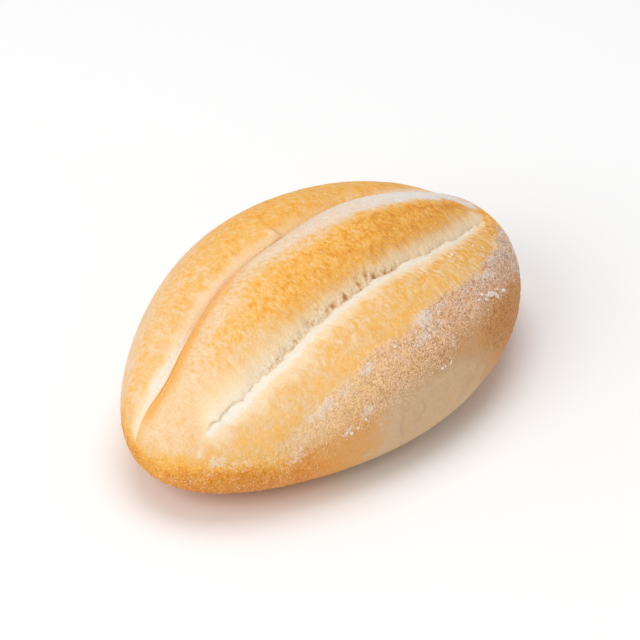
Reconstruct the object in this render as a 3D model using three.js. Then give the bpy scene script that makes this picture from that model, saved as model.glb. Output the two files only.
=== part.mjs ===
// Telera roll: a small oval loaf whose top is pressed along two creases into three lobes.
// Millimetres. +X runs along the roll, +Y across it and +Z up; the origin is under its middle.

import * as THREE from "three";

// Overall sizes; the waist is the widest line round the roll.
const LENGTH = 150;
const WIDTH = 95;
const HEIGHT = 52;
const WAIST_HEIGHT = 17;

// The ends taper as an ellipse pinched in a little between its middle and its tips.
const END_PINCH = 0.15;
const PINCH_EASE = 1.5;
const BELLY_POWER = 0.75;

// Superellipse power of the cross-section.
const SECTION_POWER = 2.2;

// The +X end is a little wider than the -X end.
const FAR_END_WIDER = 0.08;

// The underside would bulge this much past the base, which cuts it flat.
const UNDERSIDE_REACH = 1.25;
const STEEPEST_BASE_EDGE = (75 * Math.PI) / 180;

// The creases: distance from the middle line, slant over the length, bow at the ends, and a slow wander
// like a hand-pressed line's, with its size, its waves in radians over the half length and its phase.
// Each has its own depth, and dies out at its own share of the half length at the -X and the +X end.
// The higher the power of that fade, the later and the more steeply the crease dies out.
const BACK_CREASE = {
  offset: 16.1, slant: -1.6, bow: -9.2, wander: 0.95, waves: 8.3, phase: 4.2,
  depth: 6, nearEnd: 1, farEnd: 0.95, nearFade: 8, farFade: 8,
};
const FRONT_CREASE = {
  offset: -17.6, slant: -1.6, bow: 7.1, wander: 1, waves: 5.3, phase: 2.6,
  depth: 7.5, nearEnd: 0.91, farEnd: 0.87, nearFade: 3, farFade: 8,
};
const CREASES = [BACK_CREASE, FRONT_CREASE];

// How close a crease may come to the waist, as a share of the half width.
const CREASE_WIDEST = 0.9;

// How far from a crease a lobe rounds over, and how full it is there.
const LOBE_REACH = 16;
const LOBE_FULLNESS = 0.7;

// Torn lip on the front crease: overlaid rows of teeth that die away from the crease.
const TEAR_HEIGHT = 0.4;
const TEAR_PITCHES = [15.5, 5.3];
const TEAR_REACH = 3;

// Slow unevenness of the crust: waves along the roll that lean round it, as a share of its size.
const SWELL_SHARE = 0.006;
const SWELLS = [
  { along: 2.6, sideways: 2, upwards: 0, phase: 0.6 },
  { along: 4.7, sideways: 0, upwards: -1.5, phase: 2.1 },
];

// Mesh: cross-sections along the length, and columns in each strip round a section.
const STATIONS = 90;
const STATION_CROWDING = 0.7;
const LOBE_COLUMNS = 13;
const MIDDLE_COLUMNS = 16;
const SIDE_COLUMNS = 8;
const BASE_COLUMNS = 5;

const CRUST_COLOUR = 0xe9ae5e;

function signedPower(value, power) {
  return Math.sign(value) * Math.abs(value) ** power;
}

// Sizes of the cross-section at xi, which runs from -1 at one tip to 1 at the other.
function sectionAt(xi) {
  const pinch = END_PINCH * xi ** 2 * (1 - xi ** 2 / PINCH_EASE);
  const taper = Math.sqrt(1 - xi ** 2) * (1 - pinch);
  return {
    xi,
    x: (LENGTH / 2) * xi,
    halfWidth: (WIDTH / 2) * taper * (1 + FAR_END_WIDER * xi),
    crown: (HEIGHT - WAIST_HEIGHT) * taper,
    belly: WAIST_HEIGHT * UNDERSIDE_REACH * taper ** BELLY_POWER,
  };
}

function creaseAcross(crease, xi) {
  const wander = crease.wander * Math.sin(crease.waves * xi + crease.phase);
  return crease.offset + crease.slant * xi + crease.bow * xi ** 2 + wander;
}

// Share of a crease's depth at xi; it dies out towards the ends.
function creaseStrength(crease, xi) {
  const end = xi < 0 ? crease.nearEnd : crease.farEnd;
  const fade = xi < 0 ? crease.nearFade : crease.farFade;
  return Math.max(1 - Math.abs(xi / end) ** fade, 0);
}

// How far a crease pulls the top down at a distance from it across the roll.
function creaseDrop(crease, section, across) {
  const distance = Math.abs(across - creaseAcross(crease, section.xi));
  const nearness = Math.max(1 - distance / LOBE_REACH, 0);
  const profile = 1 - (1 - nearness ** 2) ** LOBE_FULLNESS;
  return crease.depth * creaseStrength(crease, section.xi) * profile;
}

// Teeth of the torn lip, on the outer side of the front crease.
function tornLip(section, across) {
  const outside = creaseAcross(FRONT_CREASE, section.xi) - across;
  if (outside <= 0) {
    return 0;
  }
  const rows = TEAR_PITCHES.map((pitch) => Math.sin((2 * Math.PI * section.x) / pitch));
  const teeth = rows.reduce((sum, row) => sum + row, 0) / rows.length;
  return TEAR_HEIGHT * teeth * creaseStrength(FRONT_CREASE, section.xi) * Math.exp(-outside / TEAR_REACH);
}

function swellAt(xi, angle) {
  const waves = SWELLS.map(({ along, sideways, upwards, phase }) =>
    Math.sin(along * xi + sideways * Math.cos(angle) + upwards * Math.sin(angle) + phase));
  return 1 + SWELL_SHARE * waves.reduce((sum, wave) => sum + wave, 0);
}

// Angle round the section at which the upper half lies this far across.
function angleAcross(section, across) {
  const limit = CREASE_WIDEST * section.halfWidth;
  const share = Math.min(Math.max(across, -limit), limit) / section.halfWidth;
  return Math.acos(signedPower(share, SECTION_POWER / 2));
}

// Angle below the waist at which the underside reaches the base.
function baseEdgeAngle(section) {
  const share = (WAIST_HEIGHT / section.belly) ** (SECTION_POWER / 2);
  return Math.min(Math.asin(Math.min(share, 1)), STEEPEST_BASE_EDGE);
}

// Column angles round one section: three lobes, two sides and the base between them.
function columnsOf(section) {
  const baseEdge = baseEdgeAngle(section);
  const creaseAngle = (crease) => angleAcross(section, creaseAcross(crease, section.xi));
  const strips = [
    { start: 0, columns: LOBE_COLUMNS, upper: true },
    { start: creaseAngle(BACK_CREASE), columns: MIDDLE_COLUMNS, upper: true },
    { start: creaseAngle(FRONT_CREASE), columns: LOBE_COLUMNS, upper: true },
    { start: Math.PI, columns: SIDE_COLUMNS, upper: false },
    { start: Math.PI + baseEdge, columns: BASE_COLUMNS, upper: false },
    { start: 2 * Math.PI - baseEdge, columns: SIDE_COLUMNS, upper: false },
  ];
  return strips.flatMap((strip, index) => {
    const end = index + 1 < strips.length ? strips[index + 1].start : 2 * Math.PI;
    return Array.from({ length: strip.columns }, (_, column) => ({
      angle: strip.start + ((end - strip.start) * column) / strip.columns,
      upper: strip.upper,
    }));
  });
}

function crustPoint(section, { angle, upper }) {
  const power = 2 / SECTION_POWER;
  const reach = upper ? section.crown : section.belly;
  const swell = swellAt(section.xi, angle);
  const across = section.halfWidth * signedPower(Math.cos(angle), power) * swell;
  let height = WAIST_HEIGHT + reach * signedPower(Math.sin(angle), power) * swell;
  if (upper) {
    for (const crease of CREASES) {
      height -= creaseDrop(crease, section, across);
    }
    height += tornLip(section, across);
  }
  return [section.x, across, Math.max(height, 0)];
}

// Stations crowd towards the tips, where the crust turns fastest.
function stationAt(index) {
  const even = (2 * index) / STATIONS - 1;
  return (1 - STATION_CROWDING) * even + STATION_CROWDING * Math.sin((Math.PI / 2) * even);
}

function rollGeometry() {
  const positions = [];
  let ringSize = 0;
  for (let index = 1; index < STATIONS; index += 1) {
    const section = sectionAt(stationAt(index));
    const columns = columnsOf(section);
    ringSize = columns.length;
    for (const column of columns) {
      positions.push(...crustPoint(section, column));
    }
  }
  const nearTip = positions.length / 3;
  positions.push(-LENGTH / 2, 0, WAIST_HEIGHT);
  const farTip = nearTip + 1;
  positions.push(LENGTH / 2, 0, WAIST_HEIGHT);

  const triangles = [];
  const rings = STATIONS - 1;
  for (let column = 0; column < ringSize; column += 1) {
    const next = (column + 1) % ringSize;
    triangles.push(nearTip, next, column);
    for (let ring = 0; ring + 1 < rings; ring += 1) {
      const here = ring * ringSize;
      const beyond = here + ringSize;
      triangles.push(here + column, here + next, beyond + column);
      triangles.push(here + next, beyond + next, beyond + column);
    }
    const last = (rings - 1) * ringSize;
    triangles.push(farTip, last + column, last + next);
  }

  const geometry = new THREE.BufferGeometry();
  geometry.setAttribute("position", new THREE.Float32BufferAttribute(positions, 3));
  geometry.setIndex(triangles);
  geometry.computeBoundingBox();
  const middle = geometry.boundingBox.getCenter(new THREE.Vector3());
  geometry.translate(-middle.x, -middle.y, -geometry.boundingBox.min.z);
  geometry.computeVertexNormals();
  return geometry;
}

const crust = new THREE.MeshStandardMaterial({ color: CRUST_COLOUR, roughness: 0.75, metalness: 0 });
const roll = new THREE.Mesh(rollGeometry(), crust);
roll.name = "telera_roll";

const group = new THREE.Group();
group.add(roll);

export default group;
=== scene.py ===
# %% [markdown]
# A telera roll, dressed and lit.
# A telera is an oval loaf that the baker presses along two lines before it rises. The oven turns those
# lines into creases, and the top into three lobes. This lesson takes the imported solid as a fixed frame,
# lays a finer crust over exactly the same form, and then adds the flour that a baker leaves on it.

# %% Load the frame
import itertools
import math

import bpy
import numpy as np
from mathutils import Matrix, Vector


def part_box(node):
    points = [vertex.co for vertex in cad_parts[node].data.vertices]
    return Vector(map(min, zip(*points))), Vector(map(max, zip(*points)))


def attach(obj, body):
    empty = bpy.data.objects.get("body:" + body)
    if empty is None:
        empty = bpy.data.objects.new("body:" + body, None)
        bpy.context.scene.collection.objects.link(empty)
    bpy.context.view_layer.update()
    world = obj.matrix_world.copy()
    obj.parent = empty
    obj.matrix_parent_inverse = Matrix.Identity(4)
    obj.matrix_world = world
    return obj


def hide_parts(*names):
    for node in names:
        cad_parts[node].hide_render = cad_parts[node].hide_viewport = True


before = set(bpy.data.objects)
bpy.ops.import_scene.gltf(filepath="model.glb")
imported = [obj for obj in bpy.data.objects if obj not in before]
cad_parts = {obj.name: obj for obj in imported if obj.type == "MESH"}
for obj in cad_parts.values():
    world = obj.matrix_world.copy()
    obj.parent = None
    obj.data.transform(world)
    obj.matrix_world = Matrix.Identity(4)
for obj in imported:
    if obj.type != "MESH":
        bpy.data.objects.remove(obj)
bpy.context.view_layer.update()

MM = 0.001
ROLL_NODE = "telera_roll"
roll_low, roll_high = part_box(ROLL_NODE)
print("roll in the frame, mm:", [round(side / MM, 1) for side in roll_high - roll_low])

# %% [markdown]
# The camera stands where the photographer stood: to one side of the near end, looking down on the roll.
# Angles, distance and scale come from fitting the roll's outline and creases to the picture. A long lens
# keeps the perspective as flat as it is there.

# %% Camera
VIEW_AZIMUTH = math.radians(-52.9)
VIEW_ELEVATION = math.radians(35.5)
VIEW_DISTANCE = 1.8
PICTURE_PIXELS = 640
PIXELS_PER_METRE = 3469
AIM_POINT = Vector((0, 0, 0.022))
AIM_PIXEL = (317.7, 327.2)
SENSOR_MM = 36

to_camera = Vector((
    math.sin(VIEW_AZIMUTH) * math.cos(VIEW_ELEVATION),
    -math.cos(VIEW_AZIMUTH) * math.cos(VIEW_ELEVATION),
    math.sin(VIEW_ELEVATION),
))
picture_right = Vector((math.cos(VIEW_AZIMUTH), math.sin(VIEW_AZIMUTH), 0))
picture_up = to_camera.cross(picture_right)


def add_object(name, data):
    thing = bpy.data.objects.new(name, data)
    bpy.context.scene.collection.objects.link(thing)
    return thing


def make_camera():
    middle = PICTURE_PIXELS / 2
    aside = (middle - AIM_PIXEL[0]) / PIXELS_PER_METRE
    above = (AIM_PIXEL[1] - middle) / PIXELS_PER_METRE
    target = AIM_POINT + picture_right * aside + picture_up * above
    data = bpy.data.cameras.new("picture_camera")
    data.sensor_width = SENSOR_MM
    data.lens = SENSOR_MM * PIXELS_PER_METRE * VIEW_DISTANCE / PICTURE_PIXELS
    camera = add_object("picture_camera", data)
    camera.location = target + to_camera * VIEW_DISTANCE
    camera.rotation_euler = to_camera.to_track_quat("Z", "Y").to_euler()
    bpy.context.scene.camera = camera
    return camera


camera = make_camera()
print("lens, mm:", round(camera.data.lens))

# %% [markdown]
# The light is a plain studio: a large soft lamp almost straight above, one to the left of the camera, and
# a white room all round. The lamp above makes the creases read, because their sides turn away from it. The
# floor is pale and plain.

# %% Light and floor
LAMPS = (
    ("key_lamp", 0.88 * picture_up + 0.48 * to_camera, 6.2),
    ("fill_lamp", -0.55 * picture_right + 0.15 * picture_up + 0.82 * to_camera, 6.5),
)
LAMP_DISTANCE = 1.3
LAMP_SIZE = 1.0
ROOM_STRENGTH = 0.54
FLOOR_SIZE = 6.0
FLOOR_COLOUR = (0.96, 0.96, 0.96, 1)


def make_lamp(name, direction, watts):
    data = bpy.data.lights.new(name, "AREA")
    data.shape = "DISK"
    data.size = LAMP_SIZE
    data.energy = watts
    lamp = add_object(name, data)
    lamp.location = AIM_POINT + direction * LAMP_DISTANCE
    lamp.rotation_euler = direction.to_track_quat("Z", "Y").to_euler()


def new_material(name, roughness, specular=0.5):
    material = bpy.data.materials.new(name)
    material.use_nodes = True
    surface = material.node_tree.nodes["Principled BSDF"]
    surface.inputs["Roughness"].default_value = roughness
    surface.inputs["Specular IOR Level"].default_value = specular
    return material, surface


def make_room():
    world = bpy.data.worlds.new("bright_room")
    world.use_nodes = True
    background = world.node_tree.nodes["Background"]
    background.inputs["Color"].default_value = (1, 1, 1, 1)
    background.inputs["Strength"].default_value = ROOM_STRENGTH
    bpy.context.scene.world = world


def make_floor():
    half = FLOOR_SIZE / 2
    corners = [(-half, -half, 0), (half, -half, 0), (half, half, 0), (-half, half, 0)]
    mesh = bpy.data.meshes.new("floor")
    mesh.from_pydata(corners, [], [(0, 1, 2, 3)])
    floor = add_object("floor", mesh)
    paint, surface = new_material("pale_floor", roughness=0.9)
    surface.inputs["Base Color"].default_value = FLOOR_COLOUR
    mesh.materials.append(paint)


for name, direction, watts in LAMPS:
    make_lamp(name, direction.normalized(), watts)
make_room()
make_floor()
bpy.context.scene.view_settings.view_transform = "Standard"

# %% [markdown]
# The crust repeats the solid's own formula on a finer grid, because a torn lip needs points half a
# millimetre apart. The solid's mesh could be subdivided, but its faces would stay flat. Sizes are in
# millimetres, and xi is a place along the roll as a share of its half length.

# %% The form's sizes
LENGTH = 150.0
WIDTH = 95.0
HEIGHT = 52.0
WAIST = 17.0
END_PINCH = 0.15
PINCH_EASE = 1.5
BELLY_POWER = 0.75
SECTION_POWER = 2.2
FAR_END_WIDER = 0.08
UNDERSIDE_REACH = 1.25
STEEPEST_BASE_EDGE = math.radians(75)
BACK_CREASE = {
    "offset": 16.1, "slant": -1.6, "bow": -9.2, "wander": 0.95, "waves": 8.3, "phase": 4.2,
    "depth": 6.0, "near_end": 1.0, "far_end": 0.95, "near_fade": 8, "far_fade": 8,
}
FRONT_CREASE = {
    "offset": -17.6, "slant": -1.6, "bow": 7.1, "wander": 1.0, "waves": 5.3, "phase": 2.6,
    "depth": 7.5, "near_end": 0.91, "far_end": 0.87, "near_fade": 3, "far_fade": 8,
}
CREASES = (BACK_CREASE, FRONT_CREASE)
CREASE_WIDEST = 0.9
LOBE_REACH = 16.0
LOBE_FULLNESS = 0.7
TEAR_HEIGHT = 0.4
TEAR_PITCHES = (15.5, 5.3)
TEAR_REACH = 3.0
SWELL_SHARE = 0.006
SWELLS = ((2.6, 2.0, 0.0, 0.6), (4.7, 0.0, -1.5, 2.1))
print("form, mm:", (LENGTH, WIDTH, HEIGHT))


# %% Tapers and creases
def signed_power(value, power):
    return np.sign(value) * np.abs(value) ** power


def end_taper(xi):
    pinch = END_PINCH * xi**2 * (1 - xi**2 / PINCH_EASE)
    return np.sqrt(np.maximum(1 - xi**2, 0)) * (1 - pinch)


def half_width(xi):
    return WIDTH / 2 * end_taper(xi) * (1 + FAR_END_WIDER * xi)


def crease_across(crease, xi):
    wander = crease["wander"] * np.sin(crease["waves"] * xi + crease["phase"])
    return crease["offset"] + crease["slant"] * xi + crease["bow"] * xi**2 + wander


def crease_strength(crease, xi):
    end = np.where(xi < 0, crease["near_end"], crease["far_end"])
    fade = np.where(xi < 0, crease["near_fade"], crease["far_fade"])
    return np.maximum(1 - np.abs(xi / end) ** fade, 0)


print("creases at the middle, mm:", [round(float(crease_across(crease, 0.0)), 1) for crease in CREASES])

# %% [markdown]
# Rings run along the roll from tip to tip, and columns round each ring in strips for the lobes, the sides
# and the base. An even grid would cut across the creases. These strips meet on them and keep them sharp.

# %% Rings and columns
RINGS = 400
# columns, crowded at the start, crowded at the end
STRIPS = {
    "back lobe": (40, False, True),
    "middle lobe": (92, True, True),
    "front lobe": (66, True, False),
    "front side": (22, False, False),
    "base": (6, False, False),
    "back side": (12, False, False),
}
strip_ends = np.cumsum([strip[0] for strip in STRIPS.values()])
BACK_COLUMN, FRONT_COLUMN, WAIST_COLUMN, BASE_COLUMN = (int(end) for end in strip_ends[:4])
BASE_MIDDLE = BASE_COLUMN + STRIPS["base"][0] // 2
DENSE_STEPS = 4001
CROWDING = 1.35
EVEN_SHARE = 0.6
CROWDED_SHARE = 0.4


def ring_places():
    """Shares of the half length that are evenly far apart along the waist, tips left out."""
    dense = np.sin(np.linspace(-math.pi / 2, math.pi / 2, DENSE_STEPS))
    steps = np.hypot(np.diff(dense) * LENGTH / 2, np.diff(half_width(dense)))
    walked = np.concatenate([[0], np.cumsum(steps)])
    return np.interp(np.linspace(0, walked[-1], RINGS + 2)[1:-1], walked, dense)


def column_shares(count, crowd_start, crowd_end):
    """Even shares from 0 to 1, crowded towards the ends that lie on a crease."""
    even = np.arange(count) / count
    if crowd_start and crowd_end:
        return EVEN_SHARE * even + CROWDED_SHARE * (1 - np.cos(math.pi * even)) / 2
    if crowd_start:
        return even**CROWDING
    if crowd_end:
        return 1 - (1 - even) ** CROWDING
    return even


def crease_angle(crease, xi):
    share = np.clip(crease_across(crease, xi) / half_width(xi), -CREASE_WIDEST, CREASE_WIDEST)
    return np.arccos(signed_power(share, SECTION_POWER / 2))


def column_angles(xi, belly):
    steepness = np.minimum((WAIST / belly) ** (SECTION_POWER / 2), math.sin(STEEPEST_BASE_EDGE))
    base_edge = np.arcsin(steepness)
    none = np.zeros_like(xi)
    edges = [
        none,
        crease_angle(BACK_CREASE, xi),
        crease_angle(FRONT_CREASE, xi),
        none + math.pi,
        math.pi + base_edge,
        2 * math.pi - base_edge,
        none + 2 * math.pi,
    ]
    shares = [column_shares(*strip) for strip in STRIPS.values()]
    strips = [start + (end - start) * share for start, end, share in zip(edges, edges[1:], shares)]
    return np.concatenate(strips, axis=1)


print("rings:", RINGS, "creases at columns:", BACK_COLUMN, FRONT_COLUMN)


# %% The smooth form
def smooth_form():
    xi = ring_places()[:, None]
    taper = end_taper(xi)
    belly = WAIST * UNDERSIDE_REACH * taper**BELLY_POWER
    angle = column_angles(xi, belly)
    upper = np.arange(angle.shape[1]) <= WAIST_COLUMN
    swell = np.ones_like(angle)
    for lengthwise, sideways, upwards, phase in SWELLS:
        turn = lengthwise * xi + sideways * np.cos(angle) + upwards * np.sin(angle) + phase
        swell += SWELL_SHARE * np.sin(turn)
    reach = np.where(upper, (HEIGHT - WAIST) * taper, belly)
    across = half_width(xi) * signed_power(np.cos(angle), 2 / SECTION_POWER) * swell
    height = WAIST + reach * signed_power(np.sin(angle), 2 / SECTION_POWER) * swell
    along = np.broadcast_to(LENGTH / 2 * xi, across.shape)
    for crease in CREASES:
        nearness = np.maximum(1 - np.abs(across - crease_across(crease, xi)) / LOBE_REACH, 0)
        drop = crease["depth"] * crease_strength(crease, xi) * (1 - (1 - nearness**2) ** LOBE_FULLNESS)
        height = height - np.where(upper, drop, 0)
    outside = np.maximum(crease_across(FRONT_CREASE, xi) - across, 0)
    teeth = sum(np.sin(2 * math.pi * along / pitch) for pitch in TEAR_PITCHES) / len(TEAR_PITCHES)
    lip = TEAR_HEIGHT * teeth * crease_strength(FRONT_CREASE, xi) * np.exp(-outside / TEAR_REACH)
    height = height + np.where(upper & (outside > 0), lip, 0)
    return xi, np.stack([along, across, np.maximum(height, 0)], axis=-1)


xi, form = smooth_form()
tips = np.array([[-LENGTH / 2, 0, WAIST], [LENGTH / 2, 0, WAIST]])
form_low = np.minimum(form.min((0, 1)), tips.min(0))
form_high = np.maximum(form.max((0, 1)), tips.max(0))
frame_low = np.array(roll_low) / MM
frame_high = np.array(roll_high) / MM
stretch = (frame_high - frame_low) / (form_high - form_low)
form = (form - form_low) * stretch + frame_low
tips = (tips - form_low) * stretch + frame_low
columns = form.shape[1]
print("grid:", form.shape[:2], "stretch to the frame:", np.round(stretch, 4))

# %% [markdown]
# Finishes need to know where they are. Each point keeps how far it lies along the roll and round it, and
# from each crease, in millimetres over the surface, so a pale strip keeps its width where the surface is
# steep. The middle lobe is the positive side.

# %% Distances over the surface
LEAST_LENGTH = 1e-9

round_steps = np.linalg.norm(np.roll(form, -1, axis=1) - form, axis=-1)
walked_round = np.cumsum(round_steps, axis=1) - round_steps
whole_round = round_steps.sum(axis=1, keepdims=True)
girth = np.where(np.arange(columns) > BASE_MIDDLE, walked_round - whole_round, walked_round)
back_gap = girth - girth[:, BACK_COLUMN, None]
front_gap = girth[:, FRONT_COLUMN, None] - girth
along_steps = np.linalg.norm(np.diff(form, axis=0), axis=-1)
along = np.concatenate([np.zeros((1, columns)), np.cumsum(along_steps, axis=0)], axis=0)
along -= along[RINGS // 2]


def outward(points):
    """Unit normals of the grid, from the steps to the next rings and columns."""
    round_way = np.roll(points, -1, axis=1) - np.roll(points, 1, axis=1)
    along_way = np.gradient(points, axis=0)
    normal = np.cross(round_way, along_way)
    return normal / np.maximum(np.linalg.norm(normal, axis=-1, keepdims=True), LEAST_LENGTH)


normals = outward(form)
upward = float(normals[RINGS // 2, (BACK_COLUMN + FRONT_COLUMN) // 2, 2])
print("girth at the middle, mm:", round(float(whole_round[RINGS // 2, 0]), 1))
print("the top's normal points up by", round(upward, 2))

# %% [markdown]
# Natural unevenness comes from lattice noise: random heights on a grid of corners, blended between them.
# Blender's textures could give it, but the mesh needs it as numbers. Fixed seeds keep each run the same.

# %% Noise helpers
HASH_SIZE = 4096
HASH_PRIMES = (73856093, 19349663, 83492791)


def smooth_step(share):
    return share * share * (3 - 2 * share)


def ease(value, low, high):
    """0 up to low, 1 from high on, and a smooth rise between them."""
    return smooth_step(np.clip((value - low) / (high - low), 0, 1))


def lattice_noise(cells, seed):
    """Smooth noise from -1 to 1 at points whose coordinates are measured in cells."""
    table = np.random.default_rng(seed).uniform(-1, 1, HASH_SIZE)
    low = np.floor(cells).astype(np.int64)
    part = smooth_step(cells - low)
    total = 0
    for corner in np.ndindex(*(2,) * cells.shape[-1]):
        index = np.zeros(cells.shape[:-1], np.int64)
        weight = np.ones(cells.shape[:-1])
        for axis, side in enumerate(corner):
            index ^= (low[..., axis] + side) * HASH_PRIMES[axis]
            weight = weight * (part[..., axis] if side else 1 - part[..., axis])
        total = total + weight * table[index % HASH_SIZE]
    return total


def patch_noise(size, seed):
    """Noise in patches of one size, in millimetres."""
    return lattice_noise(form / size, seed)


def grain_noise(width, length, seed):
    """Noise drawn out across the lobes: narrow along the roll, long round it."""
    return lattice_noise(np.stack([along / width, girth / length], axis=-1), seed)


print("spread of 5 mm patches:", round(float(patch_noise(5.0, seed=15).std()), 2))

# %% [markdown]
# Broad masks say what the oven and the baker did where. They could be painted, but would then be pictures.
# Here each is a line over the roll: points of a place along it, in millimetres, and a distance from a
# crease or a strength. Noise makes the edges ragged.

# %% Where the lobes are
WAIST_EDGE = 6

height = form[..., 2]
place_along = form[..., 0]
column_index = np.broadcast_to(np.arange(columns), height.shape)
on_top = ease(height, WAIST, WAIST + WAIST_EDGE)
middle_lobe = (column_index >= BACK_COLUMN) & (column_index <= FRONT_COLUMN)
front_side = (column_index > FRONT_COLUMN) & (column_index <= BASE_MIDDLE)
back_side = ~middle_lobe & ~front_side


def line_over(*points):
    """A line over the roll, from points of a place along it and a value there."""
    return np.interp(place_along, *zip(*points))


def only(side, values):
    return np.where(side, values, 0)


def bell(gap, half):
    """1 where the gap is nothing, smoothly down to about a third at half, and to nothing beyond."""
    return np.exp(-((gap / half) ** 2))


def spot_over(side, x, gap, half_long, half_wide, raggedness=0.45):
    """A soft ragged spot on one side, at a place along the roll and a distance from the front crease."""
    ragged = 1 + raggedness * patch_noise(1.6, seed=16) + 0.6 * raggedness * patch_noise(0.8, seed=17)
    far = np.hypot((place_along - x) / half_long, (front_gap - gap) / half_wide)
    return only(side, bell(far * ragged, 1))


for name, lobe in (("back", back_side), ("middle", middle_lobe), ("front", front_side)):
    print(name, "share of the points:", round(float(lobe.mean()), 2))

# %% [markdown]
# Flour clings to the front side, thick like sand below an upper edge and thinner downwards. One line gives
# the upper edge and one the lower. Its tone goes from tan at the near end to grey at the far end.

# %% Sand
flour_top = line_over(
    (-72, -4), (-65, -12), (-55, -18), (-40, -20.5), (-10, -22.5),
    (10, -19), (30, -17.5), (50, -12), (62, -5),
)
flour_low = line_over(
    (-70, -15), (-60, -23), (-45, -33), (-30, -37), (0, -36.5),
    (15, -31), (30, -27), (50, -24), (62, -20),
)
sand_thickness = line_over((-75, 0.3), (-60, 0.4), (-45, 0.6), (-25, 0.85), (-10, 1), (75, 1))
tone = line_over((-75, 0), (-45, 0.05), (-30, 0.12), (-10, 0.28), (10, 0.42), (30, 0.65), (45, 0.75))

flour_top = flour_top + 1.2 * patch_noise(7.0, seed=11) + 1.2 * patch_noise(2.2, seed=13)
flour_top = flour_top + 0.9 * patch_noise(0.9, seed=14)
flour_low = flour_low + 1.6 * patch_noise(5.0, seed=15)
below_top = only(front_side, ease(flour_top - front_gap, -1.3, 2.0))
under_flour = only(front_side, ease(flour_low - front_gap, -6.0, 4.5))
tip_edge = place_along + 3.0 * patch_noise(5.0, seed=51) + 1.5 * patch_noise(1.8, seed=52)
far_tip = ease(tip_edge, 61, 72)
sandy = below_top * (1 - under_flour) * (1 - far_tip) * sand_thickness
grey_cap = spot_over(front_side, 52.0, -14.5, 11.0, 7.0, 0.1)
tone = tone + 0.22 * grey_cap + 0.16 * patch_noise(3.6, seed=56) + 0.14 * patch_noise(1.5, seed=57)
print("sandy share of the points:", round(float((sandy > 0.3).mean()), 3))

# %% [markdown]
# A second, smooth film of flour covers the back of the middle lobe towards the far end. It is a mask like
# the sand's. The back wall and the sand's upper edge have a little of it too.

# %% Film
film_edge = line_over(
    (-40, 8), (-20, 9.5), (0, 14), (20, 17.5), (28, 19), (46, 18.2),
    (54, 15.6), (58, 16.2), (62, 18), (66, 20), (75, 24),
)
film_strength = line_over((-45, 0), (-25, 0.1), (-10, 0.42), (8, 0.58), (22, 0.68), (35, 0.88), (50, 1))
film_softness = line_over((0, 1), (35, 0.5))
dusting = line_over((-56, 0), (-38, 0.8), (-5, 0.9), (15, 0.4), (40, 0.4), (60, 0))
BACK_FILM = 0.4
DUSTED_FILM = 0.5

film_fray = 1.4 * patch_noise(4.0, seed=12) + 1.4 * grain_noise(1.0, 3.0, seed=18)
film_edge = film_edge + film_fray * film_softness
film = only(middle_lobe, ease((film_edge - back_gap) / film_softness, -2.5, 3.0)) * film_strength
far_film = only(back_side, bell(back_gap, 3.0)) * ease(xi, 0.5, 0.8)
back_film = only(back_side, ease(normals[..., 1] + 0.08 * patch_noise(6.0, seed=19), 0.55, 0.9))
by_front = 1 - ease(front_gap + 2.0 * patch_noise(3.0, seed=53), 1.0, 7.0)
film = film * (1 - by_front * ease(place_along, 48, 60))
film = np.maximum(np.maximum(film, far_film) * (1 - far_tip), BACK_FILM * back_film)
dusted = only(front_side, bell(front_gap - flour_top + 3.5, 3.0))
film = np.maximum(film, DUSTED_FILM * dusted * dusting)
print("filmed share of the points:", round(float((film > 0.3).mean()), 3))

# %% [markdown]
# White smudges lie where the flour was thickest. Noise would put them anywhere, so each has its place.

# %% Smudges
# place along, distance from the front crease, half length, half width, strength
SMUDGES = (
    (-69.0, -7.0, 1.3, 1.8, 0.75),
    (-67.6, -9.6, 1.2, 2.0, 0.6),
    (-65.4, -12.8, 1.3, 2.0, 0.45),
    (-62.8, -15.6, 1.4, 2.0, 0.5),
    (-50.5, -26.0, 2.4, 2.4, 0.6),
    (-45.0, -20.8, 1.6, 1.0, 0.6),
    (-40.5, -21.6, 4.0, 2.0, 0.95),
    (-33.0, -23.0, 3.4, 2.0, 0.65),
    (-24.0, -23.6, 3.8, 2.0, 0.8),
    (-13.0, -23.8, 1.2, 1.0, 0.7),
    (1.0, -22.6, 4.6, 2.2, 1.0),
    (-1.5, -26.5, 6.5, 3.2, 0.65),
    (10.0, -21.5, 4.0, 2.0, 0.5),
    (-36.5, -33.0, 2.0, 1.4, 0.85),
    (-29.0, -33.0, 2.6, 2.2, 0.75),
    (5.0, -33.0, 1.8, 0.9, 0.5),
    (21.0, -20.5, 6.0, 2.0, 0.5),
    (33.0, -19.0, 6.0, 2.0, 0.65),
    (41.0, -16.0, 5.0, 2.2, 0.55),
    (50.0, -14.0, 5.0, 3.0, 0.4),
)

smudge = np.zeros_like(height)
for x, gap, half_long, half_wide, strength in SMUDGES:
    smudge = np.maximum(smudge, strength * spot_over(front_side, x, gap, half_long, half_wide))
print("smudges:", len(SMUDGES))
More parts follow.
